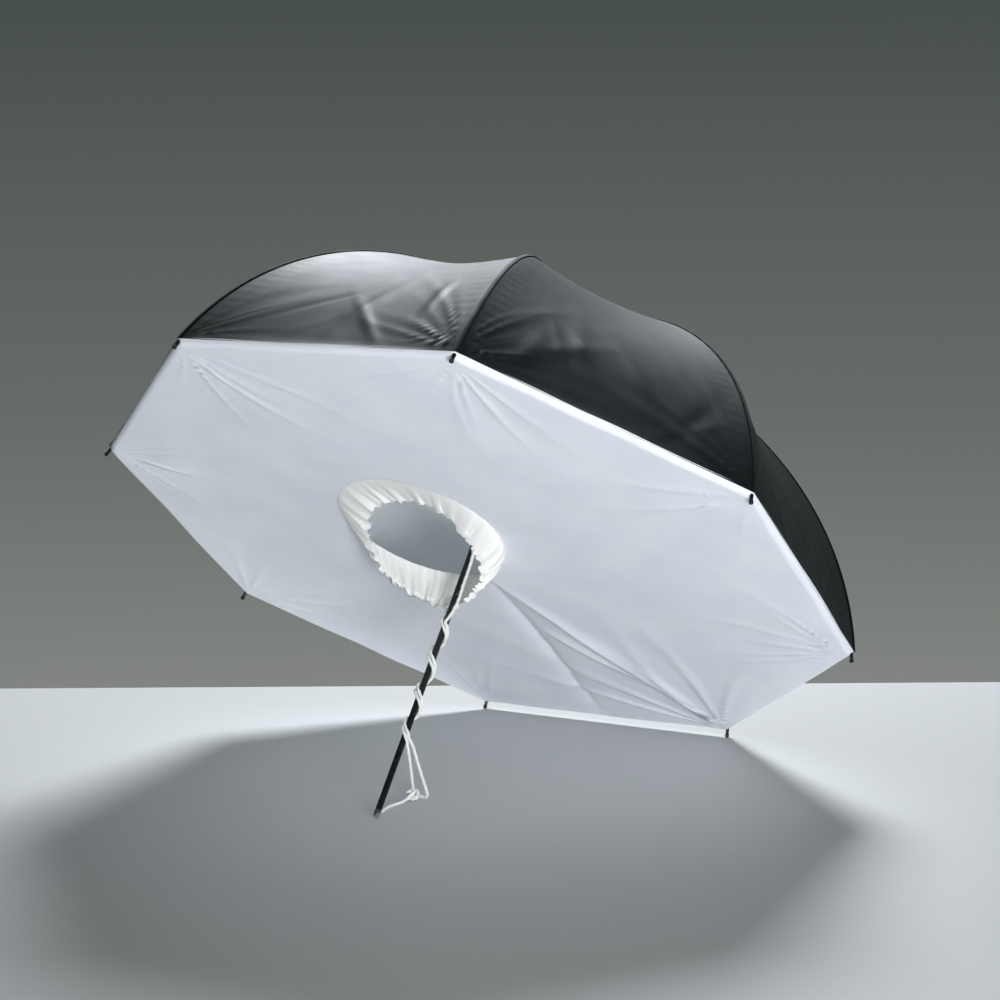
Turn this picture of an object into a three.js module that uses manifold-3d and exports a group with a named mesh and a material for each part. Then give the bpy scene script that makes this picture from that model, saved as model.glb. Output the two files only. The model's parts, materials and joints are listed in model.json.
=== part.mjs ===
// Photographic umbrella reflector with a sewn-on front diffuser, standing on two rib tips and its shaft.
// Units are millimetres, +Z is up. The umbrella is drawn in its own frame and then tilted into the row frame:
// its own z runs along the shaft towards the handle, z = 0 is the plane of the rim, and rib 1 starts from x.
import * as THREE from 'three';
import Module from 'manifold-3d';

const wasm = await Module();
wasm.setup();
const { Manifold, Mesh: SolidMesh } = wasm;

// ---- driving dimensions -------------------------------------------------------------------------------
const RIB_COUNT = 8;
const RIM_RADIUS = 500; // from the shaft's axis to a sewn corner of the canopy
const PIVOT_RADIUS = 12; // from the shaft's axis to a rib's hinge wire
const RIB_START = THREE.MathUtils.degToRad(-5); // slope of a rib where it leaves the notch
const RIB_END = THREE.MathUtils.degToRad(73); // slope of a rib at its tip
const RIM_TO_SHAFT_END = 385; // along the shaft, from the rim's plane to the end cap's flat face
const SHAFT_RADIUS = 4;
const SHAFT_WALL = 0.8;
const GAP = 0.3; // between pieces that touch on the real object
const CURVE_SEGMENTS = 8; // in each round end or hole of a flat piece

const RIB_WIDTH = 3.4;
const RIB_DEPTH = 3.0;
const RIB_SHEET = 0.7;
const RIB_CHANNEL_START = 10; // along the rib, clear of the notch when the rib swings
const RIB_STEPS = 20;
const EYE_THICKNESS = 2; // of the flat root of a rib, which turns on the notch's wire
const EYE_HALF_DEPTH = 1.9;
const EYE_HOLE_RADIUS = 1;
const EYE_OVERLAP = 5; // how far the flat root reaches into the channel
const PLUG_HALF_LENGTH = 3; // the crimp that joins root and channel
const PLUG_HALF_DEPTH = 1.3;
const EAR_HALF_DEPTH = 2.3; // of the two ears that hold a stretcher
const EAR_THICKNESS = 0.9;
const RIVET_RADIUS = 0.9;
const EAR_PIN_RADIUS = 0.5;
const BRACKET_AT = 190; // along the rib, where the stretcher is pinned
const BRACKET_DROP = 5; // from the rib's centre line to that pin
const STRETCHER_LENGTH = 215; // pin to pin; the folded umbrella's runner stops short of the drawstring
const STRETCHER_THICKNESS = 2;
const STRETCHER_HALF_DEPTH = 1.9;
const PIN_HOLE_RADIUS = 1.2;
const RUNNER_PIVOT_RADIUS = 12;
const FOLD_SWING = THREE.MathUtils.degToRad(53); // of a rib, from open to folded

const TIP_RADIUS = 3;
const TIP_LENGTH = 15;
const CLOTH = 0.8; // thickness of the plain solids that stand for cloth
const CANOPY_CLEARANCE = 2.1; // over a rib's back, for the shoulder of its tip
const CANOPY_LIFT = RIB_DEPTH / 2 + CANOPY_CLEARANCE + CLOTH / 2; // from a rib's centre line to the canopy's
const GORE_SAG = 0.05; // inward sag of a gore's middle, as a share of the gap between its ribs
const GORE_FULLNESS = 0.7; // how evenly that sag is spread along a gore
const PANEL_LIFT = 6; // the diffuser's sewn edge lies this far outside the rim's plane
const PANEL_INSET = 6; // from the rim to the diffuser's edge

const COLLAR_OFFSET = 86; // from the shaft's axis to the middle of the lamp opening, towards rib 1
const COLLAR_BASE_RADIUS = 112; // where the collar is sewn to the diffuser
const COLLAR_FREE_RADIUS = 78; // drawn-in free edge
const COLLAR_SHIFT = -18; // the free edge's middle lies this much nearer the shaft
const COLLAR_HEIGHT = 42; // how far the free edge stands out of the diffuser, at its middle
const COLLAR_LEAN = 32; // the lower side hangs out by this much more, the upper side by this much less
const COLLAR_CLEARANCE = 0.5; // over the diffuser that it is sewn to
const COLLAR_CURL = 1.3; // above 1, the collar stands up straight first and draws in near its free edge

const CORD_RADIUS = 1.9;
const CORD_SIDES = 8;
const CORD_STEP = 8; // between the sections of a cord's tube
const TWIST_SLACK = 1; // between the shaft and the strands that turn round it
const TWIST_RADIUS = SHAFT_RADIUS + CORD_RADIUS + TWIST_SLACK;
const TWIST_PITCH = 51;
const TWIST_STEPS_PER_TURN = 12;
const KNOT_RADIUS = 8;

// ---- derived places -----------------------------------------------------------------------------------
const RIB_BEND_RADIUS = (RIM_RADIUS - PIVOT_RADIUS) / (Math.sin(RIB_END) - Math.sin(RIB_START));
const CROWN_HEIGHT = RIB_BEND_RADIUS * (Math.cos(RIB_START) - Math.cos(RIB_END));
const RIB_LENGTH = RIB_BEND_RADIUS * (RIB_END - RIB_START);
const STEP_ANGLE = (2 * Math.PI) / RIB_COUNT;
const HALF_STEP = STEP_ANGLE / 2;
const NOTCH_Z = -CROWN_HEIGHT;

/** Point and slope of a rib's centre line, `along` millimetres from its hinge, in the rib's own x-z plane. */
function ribPoint(along, lift = 0) {
  const slope = RIB_START + along / RIB_BEND_RADIUS;
  const x = PIVOT_RADIUS + RIB_BEND_RADIUS * (Math.sin(slope) - Math.sin(RIB_START));
  const z = NOTCH_Z + RIB_BEND_RADIUS * (Math.cos(RIB_START) - Math.cos(slope));
  return { x: x + lift * Math.sin(slope), z: z - lift * Math.cos(slope), slope };
}

const bracket = ribPoint(BRACKET_AT, -BRACKET_DROP);
const RUNNER_Z = bracket.z + Math.sqrt(STRETCHER_LENGTH ** 2 - (bracket.x - RUNNER_PIVOT_RADIUS) ** 2);

/** How far the runner slides while a rib swings through `swing`, with the stretcher pinned at both ends. */
function travelFor(swing) {
  const out = bracket.x - PIVOT_RADIUS;
  const up = bracket.z - NOTCH_Z;
  const x = PIVOT_RADIUS + out * Math.cos(swing) - up * Math.sin(swing);
  const z = NOTCH_Z + out * Math.sin(swing) + up * Math.cos(swing);
  return z + Math.sqrt(STRETCHER_LENGTH ** 2 - (x - RUNNER_PIVOT_RADIUS) ** 2) - RUNNER_Z;
}
const RUNNER_TRAVEL = travelFor(FOLD_SWING);

// ---- materials ----------------------------------------------------------------------------------------
const FINISHES = {
  painted_steel: { color: 0x1b1c1e, roughness: 0.42, metalness: 0.6 },
  chrome: { color: 0xd4d6d8, roughness: 0.18, metalness: 1 },
  spring_steel: { color: 0x8d9094, roughness: 0.35, metalness: 1 },
  black_plastic: { color: 0x141416, roughness: 0.48, metalness: 0 },
  black_nylon: { color: 0x15171a, roughness: 0.55, metalness: 0 },
  white_nylon: { color: 0xeef1f4, roughness: 0.7, metalness: 0 },
  white_cotton: { color: 0xfbfbf8, roughness: 0.85, metalness: 0 },
};

/** A named mesh with a material of its own. */
function piece(name, geometry, finish) {
  const mesh = new THREE.Mesh(geometry, new THREE.MeshStandardMaterial(FINISHES[finish]));
  mesh.name = name;
  return mesh;
}

// ---- solids -------------------------------------------------------------------------------------------
function toSolid(geometry) {
  const merged = new Map();
  const places = [];
  const position = geometry.getAttribute('position');
  const index = geometry.index ? Array.from(geometry.index.array) : [...Array(position.count).keys()];
  const corners = index.map((i) => {
    const key = [position.getX(i), position.getY(i), position.getZ(i)].map((v) => Math.round(v * 1e4)).join();
    if (!merged.has(key)) {
      merged.set(key, merged.size);
      places.push(position.getX(i), position.getY(i), position.getZ(i));
    }
    return merged.get(key);
  });
  const triangles = [];
  for (let i = 0; i < corners.length; i += 3) {
    const [a, b, c] = corners.slice(i, i + 3);
    if (a !== b && b !== c && c !== a) triangles.push(a, b, c);
  }
  return new Manifold(
    new SolidMesh({
      numProp: 3,
      vertProperties: new Float32Array(places),
      triVerts: new Uint32Array(triangles),
    }),
  );
}

function toGeometry(solid) {
  const mesh = solid.getMesh();
  const geometry = new THREE.BufferGeometry();
  geometry.setAttribute('position', new THREE.BufferAttribute(new Float32Array(mesh.vertProperties), 3));
  geometry.setIndex(new THREE.BufferAttribute(new Uint32Array(mesh.triVerts), 1));
  return geometry;
}

/** A box given by its lowest and highest corners. */
function block(low, high) {
  const size = high.map((value, i) => value - low[i]);
  const middle = high.map((value, i) => (value + low[i]) / 2);
  return toSolid(new THREE.BoxGeometry(...size).translate(...middle));
}

/** A cylinder along z from `low` to `high`. */
function rod(radius, low, high, sides = 32) {
  const shape = new THREE.CylinderGeometry(radius, radius, high - low, sides);
  return toSolid(shape.rotateX(Math.PI / 2).translate(0, 0, (low + high) / 2));
}

/** A cylinder along y, through (x, z). */
function crossPin(radius, halfLength, x, z) {
  return toSolid(new THREE.CylinderGeometry(radius, radius, 2 * halfLength, 10).translate(x, 0, z));
}

/** A solid of revolution about z from [radius, z] pairs, first and last on the axis. */
function turned(pairs, sides = 32) {
  const profile = pairs.map(([radius, z]) => new THREE.Vector2(radius, z));
  return new THREE.LatheGeometry(profile, sides).rotateX(Math.PI / 2);
}

/** A plate of an x-z outline, `thickness` wide across y. */
function plate(shape, thickness) {
  const settings = { depth: thickness, bevelEnabled: false, curveSegments: CURVE_SEGMENTS };
  return new THREE.ExtrudeGeometry(shape, settings).rotateX(Math.PI / 2).translate(0, thickness / 2, 0);
}

/** A strip with round ends, its first hole's centre at the origin, and a hole at each of `holes` along it. */
function strap(length, halfDepth, holeRadius, holes) {
  const shape = new THREE.Shape();
  shape.absarc(0, 0, halfDepth, Math.PI / 2, (3 * Math.PI) / 2, false);
  shape.absarc(length, 0, halfDepth, -Math.PI / 2, Math.PI / 2, false);
  shape.closePath();
  for (const x of holes) {
    const hole = new THREE.Path();
    hole.absarc(x, 0, holeRadius, 0, 2 * Math.PI, true);
    shape.holes.push(hole);
  }
  return shape;
}

/** A closed sheet of cloth: rows of middle points, given half the thickness to each side. */
function clothSolid(rows, outward, thickness) {
  const places = [];
  const across = rows[0].length;
  for (const side of [1, -1]) {
    rows.forEach((row, i) =>
      row.forEach((point, j) => {
        const offset = outward(i, j).clone().multiplyScalar((side * thickness) / 2);
        places.push(point.x + offset.x, point.y + offset.y, point.z + offset.z);
      }),
    );
  }
  const under = rows.length * across;
  const index = [];
  const quad = (a, b, c, d) => index.push(a, b, c, a, c, d);
  for (let i = 0; i + 1 < rows.length; i += 1) {
    for (let j = 0; j + 1 < across; j += 1) {
      const a = i * across + j;
      quad(a, a + 1, a + across + 1, a + across);
      quad(under + a, under + a + across, under + a + across + 1, under + a + 1);
    }
  }
  for (let j = 0; j + 1 < across; j += 1) {
    const last = (rows.length - 1) * across + j;
    quad(j, under + j, under + j + 1, j + 1);
    quad(last + 1, under + last + 1, under + last, last);
  }
  for (let i = 0; i + 1 < rows.length; i += 1) {
    const left = i * across;
    const right = left + across - 1;
    quad(left + across, under + left + across, under + left, left);
    quad(right, under + right, under + right + across, right + across);
  }
  const geometry = new THREE.BufferGeometry();
  geometry.setAttribute('position', new THREE.Float32BufferAttribute(places, 3));
  geometry.setIndex(index);
  return geometry;
}

// ---- shaft --------------------------------------------------------------------------------------------
const CAP_LENGTH = 9;
const CAP_FACE_RADIUS = 3;
const SHAFT_LOW = NOTCH_Z - 3;
const SHAFT_HIGH = RIM_TO_SHAFT_END - CAP_LENGTH;
const NOTCH_RADIUS = 16;
const NOTCH_LOW = NOTCH_Z - 5;
const NOTCH_HIGH = NOTCH_Z + 7;
const WIRE_RADIUS = 0.6;
const WIRE_GROOVE = 1.3; // half the width of the groove that the wire lies in
const WIRE_COVER = 1.1; // depth of that groove above the wire's middle
const SLOT_WIDTH = 3;
const NOTCH_SLOT_START = 8.5; // from the shaft's axis
const RUNNER_SLOT_START = 9.2;
const RUNNER_SLOT_DEPTH = 12;
const RUNNER_FLANGE_RADIUS = 15;
const RUNNER_TOP = RUNNER_Z - 4;
const RUNNER_BOTTOM = RUNNER_Z + 40;
const CATCH_WIDTH = 2;
const CATCH_LENGTH = 16;
const CATCH_REACH = 6.2; // from the shaft's axis to the catch's nose
const CATCH_BACK = -1.6; // from the shaft's axis to the leaf's back
const CATCH_LOW = RUNNER_BOTTOM + GAP;
const STOP_Z = RUNNER_BOTTOM + RUNNER_TRAVEL + 1.6;
const STOP_REACH = 5.4;
const STOP_RADIUS = 1;
const STOP_TURN = THREE.MathUtils.degToRad(55); // keeps the pin's ends clear of the drawstring

function shaftTube() {
  const bore = rod(SHAFT_RADIUS - SHAFT_WALL, SHAFT_LOW - 1, SHAFT_HIGH + 1, 24);
  const slot = block(
    [0, -CATCH_WIDTH / 2 - GAP, CATCH_LOW - GAP],
    [SHAFT_RADIUS + 1, CATCH_WIDTH / 2 + GAP, CATCH_LOW + CATCH_LENGTH + GAP],
  );
  const pinHole = toSolid(stopPin(STOP_RADIUS + GAP));
  const tube = rod(SHAFT_RADIUS, SHAFT_LOW, SHAFT_HIGH, 24).subtract(bore);
  return toGeometry(tube.subtract(slot).subtract(pinHole));
}

/** Eight radial cuts that start `inner` from the shaft's axis, open along the shaft. */
function radialSlots(inner, outer, low, high) {
  const cuts = [];
  for (let k = 0; k < RIB_COUNT; k += 1) {
    const cut = block([inner, -SLOT_WIDTH / 2, low], [outer, SLOT_WIDTH / 2, high]);
    cuts.push(cut.rotate([0, 0, ((k + 0.5) * 360) / RIB_COUNT]));
  }
  return Manifold.union(cuts);
}

function notch() {
  const groove = rod(PIVOT_RADIUS + WIRE_GROOVE, NOTCH_LOW - 1, NOTCH_Z + WIRE_COVER, 48).subtract(
    rod(PIVOT_RADIUS - WIRE_GROOVE, NOTCH_LOW - 2, NOTCH_Z + 2, 48),
  );
  const blank = rod(NOTCH_RADIUS, NOTCH_LOW, NOTCH_HIGH, 48);
  const bore = rod(SHAFT_RADIUS + GAP, NOTCH_LOW - 1, NOTCH_HIGH + 1, 24);
  const slots = radialSlots(NOTCH_SLOT_START, NOTCH_RADIUS + 1, NOTCH_LOW - 1, NOTCH_HIGH + 1);
  return toGeometry(blank.subtract(bore).subtract(groove).subtract(slots));
}

/** The pointed cap over the crown: [radius, distance below the notch] from its point to its flat back. */
function ferrule() {
  const top = NOTCH_LOW - GAP;
  const outline = [[0, 12], [3, 11.4], [5.5, 8.5], [6.5, 4], [14, 2.6], [15.5, 1.2], [15.5, 0], [0, 0]];
  return turned(outline.map(([radius, below]) => [radius, top - below]));
}

function runner() {
  const length = RUNNER_BOTTOM - RUNNER_TOP;
  const flange = [[0, 0], [RUNNER_FLANGE_RADIUS, 0], [RUNNER_FLANGE_RADIUS, 8], [8.6, 11]];
  const grip = [[8.6, 30], [10.4, 32.5], [10.4, length - 1.5], [9, length], [0, length]];
  const body = toSolid(turned([...flange, ...grip])).translate([0, 0, RUNNER_TOP]);
  const bore = rod(SHAFT_RADIUS + GAP, RUNNER_TOP - 1, RUNNER_BOTTOM + 1, 24);
  const keyway = block(
    [0, -CATCH_WIDTH / 2 - 2 * GAP, RUNNER_TOP - 1],
    [CATCH_REACH + 2 * GAP, CATCH_WIDTH / 2 + 2 * GAP, RUNNER_BOTTOM + 1],
  );
  const slots = radialSlots(
    RUNNER_SLOT_START,
    RUNNER_FLANGE_RADIUS + 1,
    RUNNER_TOP - 1,
    RUNNER_TOP + RUNNER_SLOT_DEPTH,
  );
  return toGeometry(body.subtract(bore).subtract(keyway).subtract(slots));
}

/** A leaf inside the shaft whose nose stands out of the slot and holds the runner up. */
function springCatch() {
  const shape = new THREE.Shape();
  shape.moveTo(CATCH_BACK, CATCH_LOW);
  shape.lineTo(CATCH_REACH, CATCH_LOW);
  shape.lineTo(CATCH_REACH, CATCH_LOW + 1.5);
  shape.lineTo(-0.2, CATCH_LOW + CATCH_LENGTH);
  shape.lineTo(CATCH_BACK, CATCH_LOW + CATCH_LENGTH);
  shape.closePath();
  const leaf = new THREE.ExtrudeGeometry(shape, { depth: CATCH_WIDTH, bevelEnabled: false });
  return leaf.rotateX(Math.PI / 2).translate(0, CATCH_WIDTH / 2, 0);
}

function endCap() {
  const low = SHAFT_HIGH + GAP;
  const skirt = [[0, low], [3.9, low], [4.4, low + 0.6], [4.4, low + 4]];
  const face = [[3.6, RIM_TO_SHAFT_END - 0.6], [CAP_FACE_RADIUS, RIM_TO_SHAFT_END], [0, RIM_TO_SHAFT_END]];
  return turned([...skirt, ...face], 24);
}

/** A pin through the shaft that the runner's foot meets when the umbrella is folded. */
function stopPin(radius) {
  const pin = new THREE.CylinderGeometry(radius, radius, 2 * STOP_REACH, 12);
  return pin.rotateZ(STOP_TURN).translate(0, 0, STOP_Z);
}

// ---- ribs and stretchers ------------------------------------------------------------------------------
class RibCurve extends THREE.Curve {
  getPoint(share, target = new THREE.Vector3()) {
    const along = RIB_CHANNEL_START + share * (RIB_LENGTH - RIB_CHANNEL_START);
    const { x, z } = ribPoint(along);
    return target.set(x, 0, z);
  }
}

function ribSolid() {
  const halfWidth = RIB_WIDTH / 2;
  const halfDepth = RIB_DEPTH / 2;
  const channel = new THREE.Shape();
  channel.moveTo(-halfWidth, -halfDepth);
  channel.lineTo(-halfWidth, halfDepth);
  channel.lineTo(halfWidth, halfDepth);
  channel.lineTo(halfWidth, -halfDepth);
  channel.lineTo(halfWidth - RIB_SHEET, -halfDepth);
  channel.lineTo(halfWidth - RIB_SHEET, halfDepth - RIB_SHEET);
  channel.lineTo(-halfWidth + RIB_SHEET, halfDepth - RIB_SHEET);
  channel.lineTo(-halfWidth + RIB_SHEET, -halfDepth);
  channel.closePath();
  const bar = new THREE.ExtrudeGeometry(channel, { steps: RIB_STEPS, extrudePath: new RibCurve() });
  const eyeLength = RIB_CHANNEL_START + EYE_OVERLAP;
  const eyeShape = strap(eyeLength, EYE_HALF_DEPTH, EYE_HOLE_RADIUS, [0]);
  const eye = plate(eyeShape, EYE_THICKNESS).rotateY(-RIB_START);
  const root = ribPoint(0);
  const crimp = ribPoint(eyeLength);
  const plugHalfWidth = halfWidth - 0.1;
  const plug = block(
    [crimp.x - PLUG_HALF_LENGTH, -plugHalfWidth, crimp.z - PLUG_HALF_DEPTH],
    [crimp.x + PLUG_HALF_LENGTH, plugHalfWidth, crimp.z + PLUG_HALF_DEPTH],
  );
  const near = STRETCHER_THICKNESS / 2 + GAP;
  const ears = [-1, 1].map((side) => {
    const ear = plate(strap(BRACKET_DROP, EAR_HALF_DEPTH, 0, []), EAR_THICKNESS);
    ear.translate(0, side * (near + EAR_THICKNESS / 2), 0).rotateY(Math.PI / 2 - bracket.slope);
    return toSolid(ear.translate(bracket.x, 0, bracket.z));
  });
  const onRib = ribPoint(BRACKET_AT);
  const rivet = crossPin(RIVET_RADIUS, near + EAR_THICKNESS, bracket.x, bracket.z);
  const earPin = crossPin(EAR_PIN_RADIUS, near + EAR_THICKNESS, onRib.x, onRib.z);
  return toGeometry(
    Manifold.union([toSolid(bar), toSolid(eye.translate(root.x, 0, root.z)), plug, ...ears, rivet, earPin]),
  );
}

function ribTip() {
  const socket = [[0, 0], [2, 0], [2.5, 1.2], [2.3, 5], [2.1, TIP_LENGTH - 2 * TIP_RADIUS]];
  const ball = [-30, 0, 30, 60, 90].map((degrees) => {
    const angle = THREE.MathUtils.degToRad(degrees);
    return [TIP_RADIUS * Math.cos(angle), TIP_LENGTH - TIP_RADIUS + TIP_RADIUS * Math.sin(angle)];
  });
  ball[ball.length - 1][0] = 0;
  const end = ribPoint(RIB_LENGTH + GAP);
  return turned([...socket, ...ball], 12).rotateY(Math.PI / 2 - end.slope).translate(end.x, 0, end.z);
}

function stretcher() {
  const holes = [0, STRETCHER_LENGTH];
  const outline = strap(STRETCHER_LENGTH, STRETCHER_HALF_DEPTH, PIN_HOLE_RADIUS, holes);
  const bar = plate(outline, STRETCHER_THICKNESS);
  const slope = Math.atan2(RUNNER_Z - bracket.z, RUNNER_PIVOT_RADIUS - bracket.x);
  return bar.rotateY(-slope).translate(bracket.x, 0, bracket.z);
}

// ---- cloth --------------------------------------------------------------------------------------------
const SEAM_GAP = 0.4; // half the gap between neighbouring gores' solids
const PANEL_SEAM = 0.004; // radians left off each side of a part of the diffuser
const COLLAR_SEAM = 0.012;
const CANOPY_START = 24; // along the rib: the crown patch covers what is nearer the shaft
const CANOPY_ROWS = 12;

const canopyColumns = [-1, -0.66, -0.33, 0, 0.33, 0.66, 1];
const canopyAlong = (row) => CANOPY_START + (row / CANOPY_ROWS) * (RIB_LENGTH - CANOPY_START);

/** The way out of the canopy. `across` runs from -1 to 1 over the half gores on each side of a rib. */
function canopyOutward(along, across) {
  const { slope } = ribPoint(along);
  const turn = across * HALF_STEP;
  const level = Math.sin(slope);
  return new THREE.Vector3(level * Math.cos(turn), level * Math.sin(turn), -Math.cos(slope));
}

function canopyPoint(along, across) {
  const { x, z } = ribPoint(along, CANOPY_LIFT);
  const share = Math.abs(across);
  const middle = x * Math.cos(HALF_STEP);
  const span = 2 * x * Math.sin(HALF_STEP);
  const fullness = Math.sin(Math.PI * Math.min(along / RIB_LENGTH, 1)) ** GORE_FULLNESS;
  const sag = GORE_SAG * span * fullness * share * (2 - share);
  const place = new THREE.Vector3(
    x + share * (middle * Math.cos(HALF_STEP) - x),
    across * middle * Math.sin(HALF_STEP),
    z,
  );
  return place.addScaledVector(canopyOutward(along, across), -sag);
}

function canopySector() {
  const rows = [];
  for (let i = 0; i <= CANOPY_ROWS; i += 1) {
    rows.push(
      canopyColumns.map((across) => {
        const point = canopyPoint(canopyAlong(i), across);
        point.x += Math.abs(across) * SEAM_GAP * Math.sin(HALF_STEP);
        point.y -= across * SEAM_GAP * Math.cos(HALF_STEP);
        return point;
      }),
    );
  }
  return clothSolid(rows, (i, j) => canopyOutward(canopyAlong(i), canopyColumns[j]), CLOTH);
}

function crownPatch() {
  const low = NOTCH_Z - CANOPY_LIFT - 2.2;
  const reach = CANOPY_START + PIVOT_RADIUS - 1;
  const patch = rod(reach, low - CLOTH, low, 32).subtract(rod(NOTCH_RADIUS + GAP, low - 2, low + 1, 32));
  return toGeometry(patch);
}

/** Where a ray from the shaft at `angle` meets a circle around the lamp opening. */
function collarRadiusAt(angle, radius) {
  const reach = COLLAR_OFFSET * Math.cos(angle);
  return reach + Math.sqrt(radius ** 2 - (COLLAR_OFFSET * Math.sin(angle)) ** 2);
}

/** One of the diffuser's eight parts, from its sewn edge in to the collar's seam, in umbrella coordinates. */
function panelSector(k) {
  const columns = [-1, -0.75, -0.5, -0.25, 0, 0.25, 0.5, 0.75, 1];
  const turn = -k * STEP_ANGLE;
  const edge = RIM_RADIUS - PANEL_INSET;
  const rows = [0, 0.33, 0.66, 1].map((share) =>
    columns.map((across) => {
      const inner = turn + across * (HALF_STEP - PANEL_SEAM);
      const rimX = edge * (1 - Math.abs(across) * (1 - Math.cos(HALF_STEP) ** 2));
      const rimY = (edge - 2) * across * Math.cos(HALF_STEP) * Math.sin(HALF_STEP);
      const outer = new THREE.Vector2(rimX, rimY).rotateAround(new THREE.Vector2(), turn);
      const near = collarRadiusAt(inner, COLLAR_BASE_RADIUS + 1);
      const start = new THREE.Vector2(near * Math.cos(inner), near * Math.sin(inner));
      const place = start.lerp(outer, share);
      return new THREE.Vector3(place.x, place.y, PANEL_LIFT);
    }),
  );
  return clothSolid(rows, () => new THREE.Vector3(0, 0, -1), CLOTH);
}

/** The part of the collar that is sewn to one part of the diffuser, in umbrella coordinates. */
function collarSector(k) {
  const columns = [-1, -0.6, -0.2, 0.2, 0.6, 1];
  const turn = -k * STEP_ANGLE;
  const rows = [0, 0.35, 0.7, 1].map((share) =>
    columns.map((across) => {
      const ray = turn + across * (HALF_STEP - COLLAR_SEAM);
      const near = collarRadiusAt(ray, COLLAR_BASE_RADIUS);
      const around = Math.atan2(near * Math.sin(ray), near * Math.cos(ray) - COLLAR_OFFSET);
      const radius = COLLAR_BASE_RADIUS + (COLLAR_FREE_RADIUS - COLLAR_BASE_RADIUS) * share ** COLLAR_CURL;
      const height = (COLLAR_HEIGHT - COLLAR_LEAN * Math.cos(around + HALF_STEP)) * share;
      return new THREE.Vector3(
        COLLAR_OFFSET + COLLAR_SHIFT * share + radius * Math.cos(around),
        radius * Math.sin(around),
        PANEL_LIFT + CLOTH / 2 + COLLAR_CLEARANCE + height,
      );
    }),
  );
  const middle = new THREE.Vector3(COLLAR_OFFSET, 0, 0);
  const outward = (i, j) => rows[i][j].clone().sub(middle).setZ(0).normalize().setZ(0.9).normalize();
  return clothSolid(rows, outward, CLOTH);
}

// ---- the tilt that stands the umbrella on tips 5 and 6 and on its end cap ---------------------------------
const tipBall = ribPoint(RIB_LENGTH + GAP + TIP_LENGTH - TIP_RADIUS);
const tipReach = tipBall.x * Math.cos(HALF_STEP);
const standReach = Math.hypot(RIM_TO_SHAFT_END - tipBall.z, tipReach - CAP_FACE_RADIUS);
const TILT = Math.atan2(tipReach - CAP_FACE_RADIUS, RIM_TO_SHAFT_END - tipBall.z)
  + Math.asin(TIP_RADIUS / standReach);

const umbrella = new THREE.Group();
const frame = new THREE.Group();
frame.add(umbrella);
const handleWay = new THREE.Vector3(0, -Math.cos(TILT), -Math.sin(TILT));
const upWay = new THREE.Vector3(0, -Math.sin(TILT), Math.cos(TILT));
const sideWay = new THREE.Vector3().crossVectors(handleWay, upWay);
umbrella.setRotationFromMatrix(new THREE.Matrix4().makeBasis(upWay, sideWay, handleWay));

// ---- assembly -------------------------------------------------------------------------------------------
umbrella.add(piece('shaft_tube', shaftTube(), 'painted_steel'));
umbrella.add(piece('end_cap', endCap(), 'chrome'));
umbrella.add(piece('notch', notch(), 'black_plastic'));
const wire = new THREE.TorusGeometry(PIVOT_RADIUS, WIRE_RADIUS, 6, 40).translate(0, 0, NOTCH_Z);
umbrella.add(piece('notch_wire', wire, 'spring_steel'));
umbrella.add(piece('ferrule', ferrule(), 'black_plastic'));
umbrella.add(piece('crown_patch', crownPatch(), 'black_nylon'));
umbrella.add(piece('runner', runner(), 'black_plastic'));
umbrella.add(piece('spring_catch', springCatch(), 'spring_steel'));
umbrella.add(piece('stop_pin', stopPin(STOP_RADIUS), 'spring_steel'));

const ribGeometry = ribSolid();
const tipGeometry = ribTip();
const stretcherGeometry = stretcher();
const canopyGeometry = canopySector();
for (let k = 0; k < RIB_COUNT; k += 1) {
  const spoke = new THREE.Group();
  spoke.rotation.z = HALF_STEP - k * STEP_ANGLE;
  spoke.add(piece(`rib_${k + 1}`, ribGeometry, 'painted_steel'));
  spoke.add(piece(`rib_tip_${k + 1}`, tipGeometry, 'black_plastic'));
  spoke.add(piece(`stretcher_${k + 1}`, stretcherGeometry, 'painted_steel'));
  spoke.add(piece(`canopy_gore_${k + 1}`, canopyGeometry, 'black_nylon'));
  umbrella.add(spoke);
  const cloth = new THREE.Group();
  cloth.rotation.z = HALF_STEP;
  cloth.add(piece(`front_panel_${k + 1}`, panelSector(k), 'white_nylon'));
  cloth.add(piece(`collar_${k + 1}`, collarSector(k), 'white_nylon'));
  umbrella.add(cloth);
}
umbrella.position.addScaledVector(handleWay, -RIM_TO_SHAFT_END);
frame.updateMatrixWorld(true);
const box = new THREE.Box3().setFromObject(frame, true);
umbrella.position.y -= (box.min.y + box.max.y) / 2;
umbrella.position.z -= box.min.z;
frame.updateMatrixWorld(true);

// ---- drawstring: two strands out of the collar, twisted round the shaft, hanging to a knot on the floor
// The first points are in umbrella coordinates, the last ones in the row frame, from the end cap's face.
// Between them a strand turns round the shaft from `from`, `phase` degrees round it, in twelfths of a turn.
const STRANDS = [
  {
    start: [[-18, 18, 82], [-14.5, 15, 88], [-10, 9.5, 93]],
    from: 97,
    phase: 144,
    twelfths: 44,
    end: [[7.6, 64.5, 74], [6.5, 70, 58], [4, 77, 42], [1, 84, 28], [-2, 90, 21], [-4.5, 94, 17.6]],
  },
  {
    start: [[78, -54, 46], [60, -44, 58], [38, -30, 74], [20, -19, 90], [11, -10, 105]],
    from: 114,
    phase: -26,
    twelfths: 38,
    end: [
      [11, 70, 78], [13.5, 75, 60], [15.5, 81, 42], [17, 87, 26], [17.5, 92.5, 13], [14, 96, 7.4], [5, 97, 7],
    ],
  },
];
const KNOT_PLACE = [-6, 96, 7.9];
const TAIL = [
  [-6.5, 94, 6], [-8, 85, 4.2], [-9.5, 77, 2.4], [-11.3, 65, 2.2], [-12.1, 49, 2.2], [-10, 36, 2.2],
  [-6.5, 25, 2.2],
];

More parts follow.
